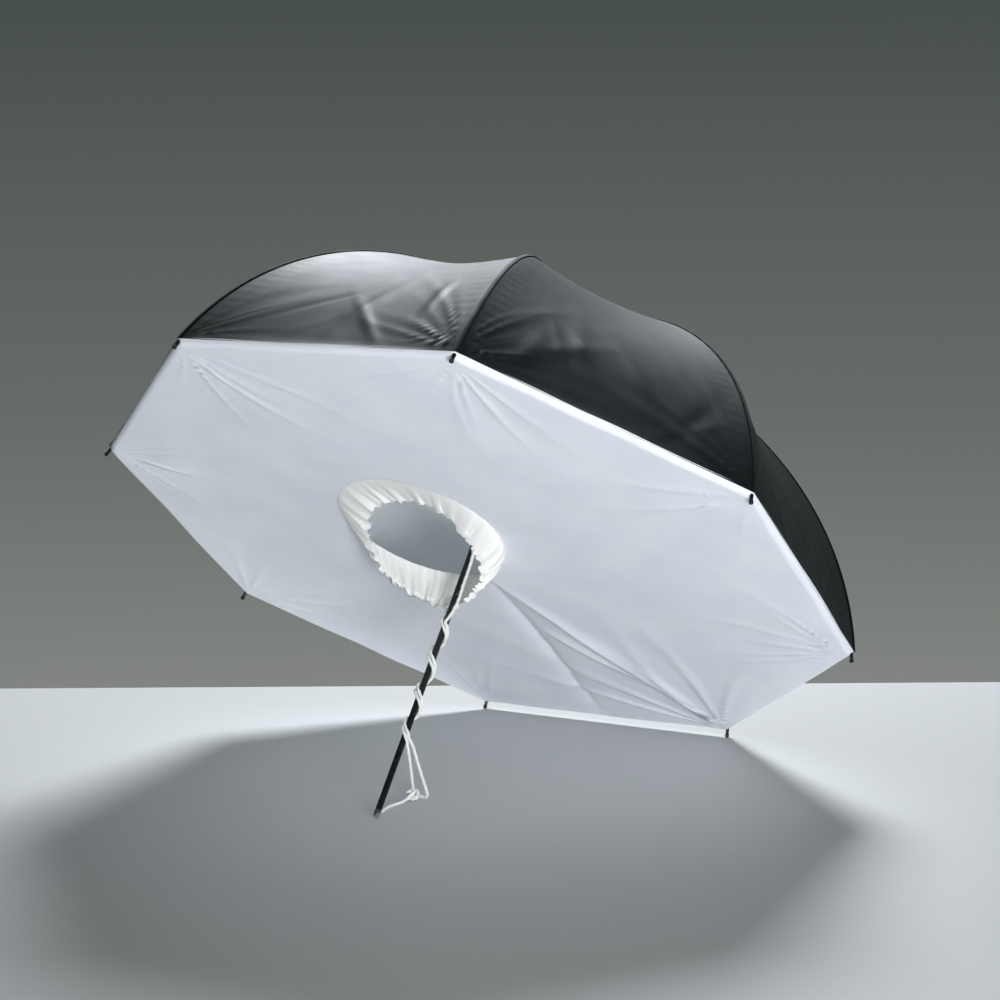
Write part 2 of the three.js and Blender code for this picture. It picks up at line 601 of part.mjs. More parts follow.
const capFace = umbrella.localToWorld(new THREE.Vector3(0, 0, RIM_TO_SHAFT_END));
const fromCap = ([x, y, z]) => new THREE.Vector3(capFace.x + x, capFace.y + y, z);
const fromUmbrella = ([x, y, z]) => umbrella.localToWorld(new THREE.Vector3(x, y, z));

/** The stretch of a strand that turns round the shaft. */
function twist({ from, phase, twelfths }) {
  const points = [];
  for (let i = 0; i <= twelfths; i += 1) {
    const turns = i / TWIST_STEPS_PER_TURN;
    const angle = THREE.MathUtils.degToRad(phase) - turns * 2 * Math.PI;
    const along = from + turns * TWIST_PITCH;
    points.push(fromUmbrella([TWIST_RADIUS * Math.cos(angle), TWIST_RADIUS * Math.sin(angle), along]));
  }
  return points;
}

function cordTube(points) {
  const route = new THREE.CatmullRomCurve3(points, false, 'centripetal');
  const section = new THREE.Shape();
  for (let i = 0; i < CORD_SIDES; i += 1) {
    const angle = (i / CORD_SIDES) * 2 * Math.PI;
    const move = i === 0 ? 'moveTo' : 'lineTo';
    section[move](CORD_RADIUS * Math.cos(angle), CORD_RADIUS * Math.sin(angle));
  }
  section.closePath();
  const steps = Math.round(route.getLength() / CORD_STEP);
  return new THREE.ExtrudeGeometry(section, { steps, extrudePath: route });
}

STRANDS.forEach((strand, i) => {
  const route = [...strand.start.map(fromUmbrella), ...twist(strand), ...strand.end.map(fromCap)];
  frame.add(piece(`drawstring_${i + 1}`, cordTube(route), 'white_cotton'));
});

const knotBall = new THREE.SphereGeometry(KNOT_RADIUS, 16, 10).scale(1, 1.15, 0.9);
const knotPlace = fromCap(KNOT_PLACE);
const tailSolid = toSolid(cordTube(TAIL.map(fromCap)));
const knotSolid = toSolid(knotBall.translate(...knotPlace.toArray())).add(tailSolid);
frame.add(piece('drawstring_knot', toGeometry(knotSolid), 'white_cotton'));

export default frame;
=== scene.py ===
# %% [markdown]
# # An umbrella reflector with a front diffuser
# A photographic umbrella of about one metre: eight sprung steel ribs carry a black-backed canopy, and a white
# diffuser closes its open face. A flash head looks in through a drawstring collar. It stands on two rib tips and
# on the end of its shaft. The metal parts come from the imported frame; the cloth and the cord are made here.

# %% Load the frame
import json
import math

import bmesh
import bpy
import numpy as np
from mathutils import Matrix, Vector


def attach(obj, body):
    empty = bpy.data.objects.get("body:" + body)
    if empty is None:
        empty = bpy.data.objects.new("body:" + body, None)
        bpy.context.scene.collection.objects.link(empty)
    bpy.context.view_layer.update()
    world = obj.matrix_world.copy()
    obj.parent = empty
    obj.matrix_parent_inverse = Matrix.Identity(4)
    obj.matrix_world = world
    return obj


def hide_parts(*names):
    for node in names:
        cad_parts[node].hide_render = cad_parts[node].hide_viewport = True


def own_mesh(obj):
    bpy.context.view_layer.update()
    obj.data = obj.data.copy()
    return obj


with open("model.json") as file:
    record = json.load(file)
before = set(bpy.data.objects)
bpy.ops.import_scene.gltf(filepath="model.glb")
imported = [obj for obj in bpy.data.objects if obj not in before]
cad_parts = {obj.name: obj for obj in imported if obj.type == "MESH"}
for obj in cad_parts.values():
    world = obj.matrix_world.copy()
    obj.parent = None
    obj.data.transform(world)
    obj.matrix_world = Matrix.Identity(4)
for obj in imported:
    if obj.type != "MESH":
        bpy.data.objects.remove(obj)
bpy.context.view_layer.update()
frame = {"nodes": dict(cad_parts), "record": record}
MM = 0.001

# %% [markdown]
# ## The umbrella's own frame
# The umbrella leans, so its shapes are worked out in a frame of its own and then turned into place. Its z runs
# along the shaft towards the handle, and z = 0 is the plane of the rim. Its x is "up" in the plane of the open
# face. The shaft's end face is a mount, so the record says where the frame sits and which way the shaft points.

# %% The umbrella's frame from the shaft's end
RIM_TO_SHAFT_END = 385 * MM
shaft_end = next(m for m in frame["record"]["mounts"] if m["name"] == "shaft_end")
CAP_FACE = Vector(shaft_end["pos_m"])
HANDLE = Vector(shaft_end["axis"]).normalized()
SIDE = Vector((-1, 0, 0))
UP = SIDE.cross(HANDLE)
RIM_CENTRE = CAP_FACE - HANDLE * RIM_TO_SHAFT_END
UMBRELLA = Matrix((UP, SIDE, HANDLE)).transposed().to_4x4()
UMBRELLA.translation = RIM_CENTRE
AXES = np.array(UMBRELLA.to_3x3())
CENTRE = np.array(RIM_CENTRE)


def in_row(points):
    """Points of the umbrella's frame, in the frame of the row."""
    return points @ AXES.T + CENTRE


print("rim centre", [round(v, 4) for v in RIM_CENTRE])

# %% [markdown]
# ## Camera
# A long lens from far away keeps the rim's octagon almost free of perspective. The camera stands a little to the
# right and looks slightly down, so the open face is seen at a slant, under the dark dome.

# %% Camera
AZIMUTH = math.radians(30.04)
ELEVATION = math.radians(8.39)
ROLL = math.radians(-0.37)
camera_data = bpy.data.cameras.new("camera")
camera_data.lens = 101.4
camera_data.sensor_width = 36
camera_data.clip_end = 50
camera = bpy.data.objects.new("camera", camera_data)
bpy.context.scene.collection.objects.link(camera)
camera.location = (1.8198, -3.0921, 0.8912)
level = Matrix.Rotation(AZIMUTH, 4, "Z") @ Matrix.Rotation(math.pi / 2 - ELEVATION, 4, "X")
camera.rotation_mode = "QUATERNION"
camera.rotation_quaternion = (level @ Matrix.Rotation(ROLL, 4, "Z")).to_quaternion()
bpy.context.scene.camera = camera
print("camera lens", camera_data.lens, "mm")

# %% [markdown]
# ## The eight ribs' arc
# Each rib leaves the notch almost square to the shaft and bends evenly to 73 degrees at the rim, as a sprung
# steel channel does under the cloth's pull. The cloth follows the ribs, so every cloth shape starts from this arc.

# %% The arc of a rib
RIB_COUNT = 8
STEP = 2 * math.pi / RIB_COUNT
HALF = STEP / 2
RIM_RADIUS = 500 * MM
PIVOT_RADIUS = 12 * MM
RIB_START = math.radians(-5)
RIB_END = math.radians(73)
BEND = (RIM_RADIUS - PIVOT_RADIUS) / (math.sin(RIB_END) - math.sin(RIB_START))
CROWN = BEND * (math.cos(RIB_START) - math.cos(RIB_END))
RIB_LENGTH = BEND * (RIB_END - RIB_START)
CANOPY_LIFT = 4 * MM
CANOPY_START = 24 * MM


def rib_angle(number):
    """The turn of rib `number`, 1 to 8, about the shaft."""
    return HALF - (number - 1) * STEP


def rib_arc(along, lift):
    """Distance from the shaft, height and slope on a rib, `lift` outside its centre line."""
    slope = RIB_START + along / BEND
    out = PIVOT_RADIUS + BEND * (np.sin(slope) - math.sin(RIB_START)) + lift * np.sin(slope)
    high = -CROWN + BEND * (math.cos(RIB_START) - np.cos(slope)) - lift * np.cos(slope)
    return out, high, slope


def turned(x, y, angle):
    """x and y turned about the shaft."""
    return x * np.cos(angle) - y * np.sin(angle), x * np.sin(angle) + y * np.cos(angle)


print("rib length", round(RIB_LENGTH, 4), "crown height", round(CROWN, 4))

# %% [markdown]
# ## Colours and nodes
# Colours are written as the screen values a painter would pick, and one function turns them into the linear
# values that light works with. One small function adds a node, its settings and its links.


# %% Colour and node helpers
def linear(code):
    """An sRGB hex colour as linear RGBA."""
    parts = [int(code[i : i + 2], 16) / 255 for i in (1, 3, 5)]
    return (*[p / 12.92 if p <= 0.04045 else ((p + 0.055) / 1.055) ** 2.4 for p in parts], 1.0)


def add(tree, kind, settings=None, **inputs):
    """Adds a node. `settings` are its properties, `inputs` its sockets' values or the sockets that feed them."""
    node = tree.nodes.new(kind)
    for key, value in (settings or {}).items():
        setattr(node, key, value)
    for key, value in inputs.items():
        place = int(key[1:]) if key[0] == "_" and key[1:].isdigit() else key.replace("_", " ")
        if isinstance(value, bpy.types.NodeSocket):
            tree.links.new(value, node.inputs[place])
        else:
            node.inputs[place].default_value = value
    return node


def new_material(name, base, roughness, metallic=0.0, ior=1.5, **sockets):
    """A material with one Principled shader. Returns the material, its tree and the shader."""
    material = bpy.data.materials.new(name)
    material.use_nodes = True
    tree = material.node_tree
    shader = tree.nodes["Principled BSDF"]
    shader.inputs["Base Color"].default_value = linear(base)
    shader.inputs["Roughness"].default_value = roughness
    shader.inputs["Metallic"].default_value = metallic
    shader.inputs["IOR"].default_value = ior
    for key, value in sockets.items():
        shader.inputs[key.replace("_", " ")].default_value = value
    return material, tree, shader


def bump(tree, shader, height, strength, distance):
    """Joins a height, 0 to 1, to the shader's normal. `distance` is what 1 stands for, in metres."""
    node = add(tree, "ShaderNodeBump", Strength=strength, Distance=distance, Height=height)
    tree.links.new(node.outputs["Normal"], shader.inputs["Normal"])


def ramp(tree, factor, stops):
    """A colour ramp: stops are (place, hex colour)."""
    node = add(tree, "ShaderNodeValToRGB", Fac=factor)
    elements = node.color_ramp.elements
    while len(elements) < len(stops):
        elements.new(0.5)
    for element, (place, code) in zip(elements, stops):
        element.position = place
        element.color = linear(code)
    return node.outputs["Color"]


# %% [markdown]
# ## Woven nylon
# Canopy, diffuser and collar are plain-weave nylon. A thread is about 0.15 mm wide, too fine to show at this
# distance, so the weave is drawn at 1.2 mm, a coarser grid that still reads as cloth. Each piece has
# a UV map in metres, so the threads run with the cloth. A slow noise adds the cloudiness of thin cloth.

# %% A cloth's weave and clouds
THREAD = 1.2 * MM
WAVES_PER_UNIT = 20  # what a wave texture's scale is multiplied by


def weave(tree, spacing):
    """The height of a plain weave: two sets of threads crossing in the UV map."""
    place = add(tree, "ShaderNodeUVMap", {"uv_map": "cloth"}).outputs["UV"]
    turns = 2 * math.pi / spacing
    ways = []
    for direction in ("X", "Y"):
        wave = add(
            tree,
            "ShaderNodeTexWave",
            {"wave_type": "BANDS", "bands_direction": direction, "wave_profile": "SIN"},
            Vector=place,
            Scale=turns / WAVES_PER_UNIT,
            Distortion=0.0,
        )
        ways.append(wave.outputs["Fac"])
    both = add(tree, "ShaderNodeMath", {"operation": "MAXIMUM"}, _0=ways[0], _1=ways[1])
    return place, both.outputs["Value"]


def nylon(name, colours, roughness, strength, **sockets):
    """Woven nylon: `colours` are its darker and lighter cloud, `roughness` its smoother and duller patches."""
    material, tree, shader = new_material(name, colours[0], roughness[0], ior=1.53, **sockets)
    place, threads = weave(tree, THREAD)
    clouds = add(tree, "ShaderNodeTexNoise", Vector=place, Scale=9.0, Detail=4.0, Roughness=0.55)
    colour = ramp(tree, clouds.outputs["Fac"], [(0.35, colours[0]), (0.65, colours[1])])
    tree.links.new(colour, shader.inputs["Base Color"])
    patches = add(tree, "ShaderNodeTexNoise", Vector=place, Scale=26.0, Detail=3.0)
    dull = add(
        tree,
        "ShaderNodeMapRange",
        Value=patches.outputs["Fac"],
        **{"From_Min": 0.3, "From_Max": 0.7, "To_Min": roughness[0], "To_Max": roughness[1]},
    )
    tree.links.new(dull.outputs["Result"], shader.inputs["Roughness"])
    bump(tree, shader, threads, strength, 0.08 * MM)
    return material


# Satin nylon taffeta, dyed black and calendered: hot rollers press the threads flat, so it mirrors broad light.
black_satin = nylon("black satin nylon taffeta, calendered", ("#0C1113", "#11181B"), (0.46, 0.54), 0.5)
# The same cloth's inner face, coated silver-white to throw the light back: pale, even and hardly glossy.
silver_lining = nylon("silver-white coated nylon lining", ("#C4C9CB", "#CED3D5"), (0.5, 0.6), 0.4)
# Thin translucent nylon: it scatters light inside, so it looks soft and bluish white with a faint sheen.
diffuser_nylon = nylon("white diffuser nylon, plain woven", ("#E9EDF5", "#F1F4FA"), (0.5, 0.6), 0.5)
# Heavier white nylon without the blue of the diffuser: brilliant white in its gathers.
collar_nylon = nylon("bright white collar nylon, gathered", ("#F7F7F4", "#FDFDFB"), (0.6, 0.7), 0.6)
# Black twill tape over the seams: matt, because its threads stand up.
seam_tape = nylon("black polyester seam tape, twill woven", ("#060708", "#0B0C0D"), (0.65, 0.8), 0.9)
print("cloths made:", len(bpy.data.materials))

# %% [markdown]
# ## The hard finishes
# The shaft and ribs are enamelled black: a hard, slightly wavy gloss with dust in it. The tips, notch and runner
# are moulded nylon plastic with a fine spark-eroded grain. The end cap is plated, and the catch is drawn wire.


# %% Enamel, plastic and metals
def grained(name, base, roughness, grain, strength, depth, metallic=0.0, **sockets):
    """A hard finish with a fine grain of `grain` metres, read from the object's own coordinates."""
    material, tree, shader = new_material(name, base, roughness, metallic, **sockets)
    place = add(tree, "ShaderNodeTexCoord").outputs["Object"]
    fine = add(tree, "ShaderNodeTexNoise", Vector=place, Scale=1 / grain, Detail=3.0)
    worn = add(tree, "ShaderNodeTexNoise", Vector=place, Scale=60.0, Detail=5.0)
    spread = add(
        tree,
        "ShaderNodeMapRange",
        Value=worn.outputs["Fac"],
        **{"From_Min": 0.3, "From_Max": 0.7, "To_Min": roughness * 0.8, "To_Max": roughness * 1.3},
    )
    tree.links.new(spread.outputs["Result"], shader.inputs["Roughness"])
    bump(tree, shader, fine.outputs["Fac"], strength, depth)
    return material


FINISHES = {
    # Stoved enamel on a drawn steel tube: the coat levels itself, so only a faint orange peel is left.
    "shaft_paint": grained("black stoved enamel on steel tube", "#0E0F11", 0.26, 3 * MM, 0.2, 0.1 * MM),
    # The same enamel on folded strip, thinner, so it is duller along the fold.
    "rib_paint": grained("black enamel on folded steel strip", "#121315", 0.38, 2 * MM, 0.3, 0.1 * MM),
    # Bright nickel plate over a turned cap: mirror-like with faint turning marks.
    "chrome_cap": grained("nickel plate on turned brass", "#C9CBCE", 0.16, 0.6 * MM, 0.2, 0.05 * MM, 1.0),
    # Injection-moulded polyamide: fine grain from a spark-eroded mould, dull black.
    "black_plastic": grained("black polyamide, injection moulded", "#0D0D0F", 0.45, 0.5 * MM, 0.4, 0.1 * MM),
    # Hard-drawn spring steel wire: bright grey with drawing marks.
    "spring_steel": grained("spring steel, hard drawn", "#8B8E93", 0.34, 0.8 * MM, 0.3, 0.05 * MM, 1.0),
}
slot_of = {part["node"]: part["material_slot"] for part in frame["record"]["subparts"]}
for name, node in frame["nodes"].items():
    finish = FINISHES.get(slot_of[name], seam_tape)
    node.data.materials.clear()
    node.data.materials.append(finish)
print("finishes on CAD nodes:", len(FINISHES))

# %% [markdown]
# ## One way to make every strip and sheet
# A sheet of cloth and a cord are both a rectangle that has been bent: so each starts as bmesh's flat grid, gets
# its UV map while it is flat, and then every vertex is moved by the formula for that piece. A cloth gets its
# second face by duplicating the first, and a bridge closes the two along the edges. The formula also gives the
# true normal, which is kept on the corners, so that pieces cut at the ribs shade as one cloth.


# %% Grid, shell and finishing helpers
def flat_grid(columns, rows):
    """A bmesh grid whose x and y run from 0 to 1."""
    bm = bmesh.new()
    bmesh.ops.create_grid(bm, x_segments=columns, y_segments=rows, size=0.5)
    bmesh.ops.translate(bm, verts=bm.verts, vec=(0.5, 0.5, 0))
    return bm


def lay_uv(bm, chart):
    """A UV map named cloth, in metres, from chart(u, v) at arrays u and v."""
    layer = bm.loops.layers.uv.new("cloth")
    flat = np.array([vert.co for vert in bm.verts])
    across, along = np.broadcast_arrays(*chart(flat[:, 0], flat[:, 1]))
    places = np.stack([across, along], axis=1).tolist()
    bm.verts.index_update()
    for face in bm.faces:
        for loop in face.loops:
            loop[layer].uv = places[loop.vert.index]


def as_piece(bm, name, materials, body):
    """Turns a bmesh into a smooth object that rides on a body."""
    mesh = bpy.data.meshes.new(name)
    bm.to_mesh(mesh)
    bm.free()
    for polygon in mesh.polygons:
        polygon.use_smooth = True
    for material in materials:
        mesh.materials.append(material)
    piece = bpy.data.objects.new(name, mesh)
    bpy.context.scene.collection.objects.link(piece)
    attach(piece, body)
    return piece


def surface_at(place, u, v):
    """The points and unit normals of a surface place(u, v) at arrays u and v, in the frame of the row."""
    step = 1e-3
    along_u = in_row(place(u + step, v)) - in_row(place(u - step, v))
    along_v = in_row(place(u, v + step)) - in_row(place(u, v - step))
    normal = np.cross(along_u, along_v)
    normal /= np.linalg.norm(normal, axis=1)[:, None]
    return in_row(place(u, v)), normal


def cloth_shell(name, grid, place, chart, thickness, materials, body):
    """A closed sheet of cloth. place(u, v) is its middle, and its outer face looks along u x v."""
    bm = flat_grid(*grid)
    lay_uv(bm, chart)
    outer = list(bm.verts)
    copied = bmesh.ops.duplicate(bm, geom=[*bm.verts, *bm.edges, *bm.faces])["geom"]
    inner = [g for g in copied if isinstance(g, bmesh.types.BMVert)]
    lining = [g for g in copied if isinstance(g, bmesh.types.BMFace)]
    bmesh.ops.reverse_faces(bm, faces=lining)
    for face in lining:
        face.material_index = len(materials) - 1
    flat = np.array([vert.co for vert in [*outer, *inner]])
    points, normals = surface_at(place, flat[:, 0], flat[:, 1])
    signs = np.repeat([1.0, -1.0], [len(outer), len(inner)])[:, None]
    moved = points + normals * signs * thickness / 2
    bmesh.ops.bridge_loops(bm, edges=[edge for edge in bm.edges if edge.is_boundary])
    for vert, point in zip([*outer, *inner], moved):
        vert.co = point
    piece = as_piece(bm, name, materials, body)
    piece.data.normals_split_custom_set_from_vertices(normals * signs)
    return piece


def fold_flat(piece):
    """Gives the piece a copy of its mesh for its own."""
    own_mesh(piece)


# %% [markdown]
# ## The drawstring
# A soft white cord of 3.8 mm closes the collar. Its two strands leave the collar's channel, turn between three
# and four times round the shaft, hang free from its lower part and end in one knot on the floor. The route is
# the frame's own: the same points, the same turns, and then a third of the way to the knot's middle. The cord is
# twisted from three yarns, so its section is a three-lobed one that turns along it.

# %% The strands' routes
CORD_DIAMETER = 3.8 * MM
SHAFT_RADIUS = 4 * MM
TWIST_RADIUS = SHAFT_RADIUS + CORD_DIAMETER / 2 + 1 * MM
TWIST_PITCH = 51 * MM
TURN_STEPS = 12
ROUTE_STEP = 1.2 * MM
STRANDS = [
    {
        "start": [(-18, 18, 82), (-14.5, 15, 88), (-10, 9.5, 93)],
        "from": 97,
        "phase": 144,
        "twelfths": 44,
        "end": [(7.6, 64.5, 74), (6.5, 70, 58), (4, 77, 42), (1, 84, 28), (-2, 90, 21), (-4.5, 94, 17.6)],
    },
    {
        "start": [(78, -54, 46), (60, -44, 58), (38, -30, 74), (20, -19, 90), (11, -10, 105)],
        "from": 114,
        "phase": -26,
        "twelfths": 38,
        "end": [
            (11, 70, 78), (13.5, 75, 60), (15.5, 81, 42), (17, 87, 26), (17.5, 92.5, 13), (14, 96, 7.4), (5, 97, 7),
        ],
    },
]
KNOT_PLACE = (-6, 96, 7.9)
INTO_KNOT = 0.3
TAIL = [
    (-6.5, 94, 6), (-8, 85, 4.2), (-9.5, 77, 2.4), (-11.3, 65, 2.2), (-12.1, 49, 2.2), (-10, 36, 2.2),
    (-6.5, 25, 2.2),
]


def from_umbrella(point):
    return UMBRELLA @ (Vector(point) * MM)


def from_cap(point):
    """Sideways and back from the shaft's end face, and up from the floor."""
    return Vector((CAP_FACE.x + point[0] * MM, CAP_FACE.y + point[1] * MM, point[2] * MM))


def turns_round_shaft(strand):
    places = []
    for i in range(strand["twelfths"] + 1):
        turn = i / TURN_STEPS
        angle = math.radians(strand["phase"]) - 2 * math.pi * turn
        along = strand["from"] * MM + turn * TWIST_PITCH
        places.append(UMBRELLA @ Vector((TWIST_RADIUS * math.cos(angle), TWIST_RADIUS * math.sin(angle), along)))
    return places


def smooth_route(points, step):
    """A centripetal Catmull-Rom curve through the points, with a place about every `step` metres."""
    ends = [2 * points[0] - points[1], *points, 2 * points[-1] - points[-2]]
    route = []
    for a, b, c, d in zip(ends, ends[1:], ends[2:], ends[3:]):
        t1 = math.sqrt((b - a).length)
        t2 = t1 + math.sqrt((c - b).length)
        t3 = t2 + math.sqrt((d - c).length)
        count = max(1, round((c - b).length / step))
        for i in range(count):
            t = t1 + (t2 - t1) * i / count
            p1 = a.lerp(b, t / t1)
            p2 = b.lerp(c, (t - t1) / (t2 - t1))
            p3 = c.lerp(d, (t - t2) / (t3 - t2))
            q1 = p1.lerp(p2, t / t2)
            q2 = p2.lerp(p3, (t - t1) / (t3 - t1))
            route.append(q1.lerp(q2, (t - t1) / (t2 - t1)))
    return [*route, points[-1]]


def route_length(route):
    return sum((b - a).length for a, b in zip(route, route[1:]))


routes = []
for strand in STRANDS:
    points = [*map(from_umbrella, strand["start"]), *turns_round_shaft(strand), *map(from_cap, strand["end"])]
    points.append(points[-1].lerp(from_cap(KNOT_PLACE), INTO_KNOT))
    routes.append(smooth_route(points, ROUTE_STEP))
print("strand lengths", [round(route_length(route), 3) for route in routes])

# %% [markdown]
# The rope is swept by hand from the same flat grid: u goes round the section and v along the route. A frame is
# carried along the route without twisting of its own, and the lobes turn in it once every 11 mm.

# %% Rope sweep
ROPE_SIDES = 15
ROPE_LAY = 11 * MM
LOBES = 3
LOBE_DEPTH = 0.13
FIBRE = 0.8 * MM


def carried_frames(route):
    """Unit vectors across the route, carried along it without twist."""
    ways = [(b - a).normalized() for a, b in zip(route, route[1:])]
    ways.append(ways[-1])
    across = ways[0].orthogonal().normalized()
    frames = []
    for way in ways:
        across = (across - way * across.dot(way)).normalized()
        frames.append((across, way.cross(across)))
    return frames


def rope(name, route, radius, body, material):
    """A laid rope along a route, its ends rounded off."""
    rows = len(route) - 1
    lengths = [0.0]
    for a, b in zip(route, route[1:]):
        lengths.append(lengths[-1] + (b - a).length)
    frames = carried_frames(route)
    bm = flat_grid(ROPE_SIDES, rows)
    lay_uv(bm, lambda u, v: (u * 2 * math.pi * radius, v * lengths[-1]))
    for vert in bm.verts:
        row = round(vert.co.y * rows)
        angle = -2 * math.pi * vert.co.x
        lobe = 1 + LOBE_DEPTH * math.cos(LOBES * (angle - 2 * math.pi * lengths[row] / ROPE_LAY / LOBES))
        to_end = min(lengths[row], lengths[-1] - lengths[row]) / radius
        size = radius * lobe * math.sqrt(1 - (1 - min(to_end, 1.0)) ** 2 * 0.8)
        first, second = frames[row]
        vert.co = route[row] + size * (math.cos(angle) * first + math.sin(angle) * second)
    bmesh.ops.remove_doubles(bm, verts=bm.verts, dist=1e-6)
    bmesh.ops.holes_fill(bm, edges=[edge for edge in bm.edges if edge.is_boundary], sides=0)
    bmesh.ops.recalc_face_normals(bm, faces=bm.faces)
    return as_piece(bm, name, [material], body)


def soft_cord(name, base):
    """Soft cord of twisted yarns: fine slanting fibres on matt white, with painted shade in the grooves."""
    material, tree, shader = new_material(name, base, 0.85, ior=1.5, Sheen_Weight=0.3)
    place = add(tree, "ShaderNodeUVMap", {"uv_map": "cloth"}).outputs["UV"]
    slanted = add(tree, "ShaderNodeMapping", Vector=place, Rotation=(0, 0, math.radians(38)))
    fibres = add(
        tree,
        "ShaderNodeTexWave",
        {"wave_type": "BANDS", "bands_direction": "X"},
        Vector=slanted.outputs["Vector"],
        Scale=2 * math.pi / FIBRE / WAVES_PER_UNIT,
        Distortion=1.2,
        Detail=2.0,
    )
    # Painted shade: the colour is a little darker where the bump below puts the grooves between fibres.
    colour = ramp(tree, fibres.outputs["Fac"], [(0.0, "#E4E4E0"), (0.5, "#FAFAF6")])
    tree.links.new(colour, shader.inputs["Base Color"])
    bump(tree, shader, fibres.outputs["Fac"], 0.6, 0.2 * MM)
    return material


white_cord = soft_cord("white polyester cord, three yarns twisted", "#F4F4F0")

# %% [markdown]
# The knot is drawn as a small ball of turns: one closed rope that goes three times round and four times
# through, which is what a pulled-tight double knot looks like from outside. One short tail lies on the floor.

# %% Knot, tail and strands
KNOT_RING = 4.1 * MM
KNOT_TURN = 2.9 * MM
KNOT_STRETCH = Vector((1.0, 1.16, 1.7))
KNOT_STEPS = 180
TIMES_ROUND = 3
TIMES_THROUGH = 4
knot_middle = from_cap(KNOT_PLACE)
knot_route = []
for i in range(KNOT_STEPS + 1):
    t = 2 * math.pi * i / KNOT_STEPS
    out = KNOT_RING + KNOT_TURN * math.cos(TIMES_THROUGH * t)
    high = KNOT_TURN * math.sin(TIMES_THROUGH * t)
    offset = Vector((out * math.cos(TIMES_ROUND * t), out * math.sin(TIMES_ROUND * t), high))
    knot_route.append(knot_middle + offset * KNOT_STRETCH)
knot = rope("drawstring_knot_turns", knot_route, CORD_DIAMETER / 2 * 0.95, "shaft", white_cord)
tail_route = smooth_route([from_cap(point) for point in TAIL], ROUTE_STEP)
tail = rope("drawstring_tail", tail_route, CORD_DIAMETER / 2, "shaft", white_cord)
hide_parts("drawstring_knot")
for number, route in enumerate(routes, 1):
    cord = rope(f"drawstring_strand_{number}", route, CORD_DIAMETER / 2, "shaft", white_cord)
    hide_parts(f"drawstring_{number}")
print("tail length", round(route_length(tail_route), 3))

# %% [markdown]
# ## The canopy
# Eight gores of black nylon are sewn along the ribs, so the cloth is tight and straight beside a rib and sags
# inward between two of them. On the real umbrella it is one cloth. Here it is cut in the middle of each gore,
# so that the half gores beside a rib move with that rib, and across into rings. The formula is shared, so the
# cuts don't show.
#
# A tight cloth wrinkles in a few true ways. Creases run out of each sewn corner at the rim, short puckers cross
# the seams, and slack near the rim lies in soft diagonal folds. All are worked out from real distances on the
# gore, once for the whole gore, so that both halves agree.

# %% Wrinkles of a gore
rng = np.random.default_rng(7)
CORNER_FOLDS = 7
gore_folds = [
    {
        "corner": [
            {
                "turn": math.radians(14 + 11 * i) + rng.normal(0, 0.05),
                "width": rng.uniform(0.045, 0.08),
                "height": rng.uniform(0.3, 1.1) * MM,
                "reach": rng.uniform(0.09, 0.2),
                "bend": rng.normal(0, 0.9),
            }
            for _ in range(2)
            for i in range(CORNER_FOLDS)
        ],
        "slack": [
            {
                "across": rng.uniform(-0.12, 0.12),
                "along": RIB_LENGTH - rng.uniform(0.03, 0.13),
                "turn": rng.uniform(-0.9, 0.9),
                "length": rng.uniform(0.03, 0.09),
                "width": rng.uniform(0.006, 0.014),
                "height": rng.uniform(-1.5, 1.9) * MM,
            }
            for _ in range(9)
        ],
        "billow": rng.uniform(0, 2 * math.pi, 3),
    }
    for _ in range(RIB_COUNT)
]
PUCKER_PITCH = 17 * MM
PUCKER_HEIGHT = 0.3 * MM
GORE_SAG = 0.05
GORE_FULLNESS = 0.7


def gore_height(gore, share, along, span):
    """How far the cloth of a gore stands out. `share` runs from 0 to 1 between its two ribs."""
    folds = gore_folds[gore]
    across = (share - 0.5) * span
    height = np.zeros_like(along)
    for number, fold in enumerate(folds["corner"]):
        side = 1 if number < CORNER_FOLDS else -1
        out = span / 2 - side * across
        down = np.maximum(RIB_LENGTH - along, 1e-6)
        reach = np.hypot(out, down)
        turn = np.arctan2(out, down) + fold["bend"] * reach
        ridge = np.exp(-(((turn - fold["turn"]) / fold["width"]) ** 2))
        fade = (reach / 0.03) ** 2 / (1 + (reach / 0.03) ** 2) * np.exp(-((reach / fold["reach"]) ** 2))
        height += fold["height"] * ridge * fade
    for fold in folds["slack"]:
        x = across - fold["across"]
        y = along - fold["along"]
        x, y = turned(x, y, fold["turn"])
        height += fold["height"] * np.exp(-((x / fold["width"]) ** 2) - (y / fold["length"]) ** 2)
    a, b, c = folds["billow"]
    swell = np.sin(math.pi * share + 0.4 * np.sin(along / 0.09 + b))
    height += 1.3 * MM * np.sin(along / 0.052 + a + 2 * share) * swell
    from_seam = np.minimum(share, 1 - share) * span
    pucker = np.sin(2 * math.pi * along / PUCKER_PITCH + 1.4 * np.sin(along / 0.07 + c))
    height += PUCKER_HEIGHT * pucker * np.exp(-from_seam / 0.018)
    tight = 1 - np.exp(-((from_seam / 0.012) ** 2))
    edge = 1 - np.exp(-((np.maximum(RIB_LENGTH - along, 0) / 0.008) ** 2))
    return height * tight * (0.35 + 0.65 * edge)


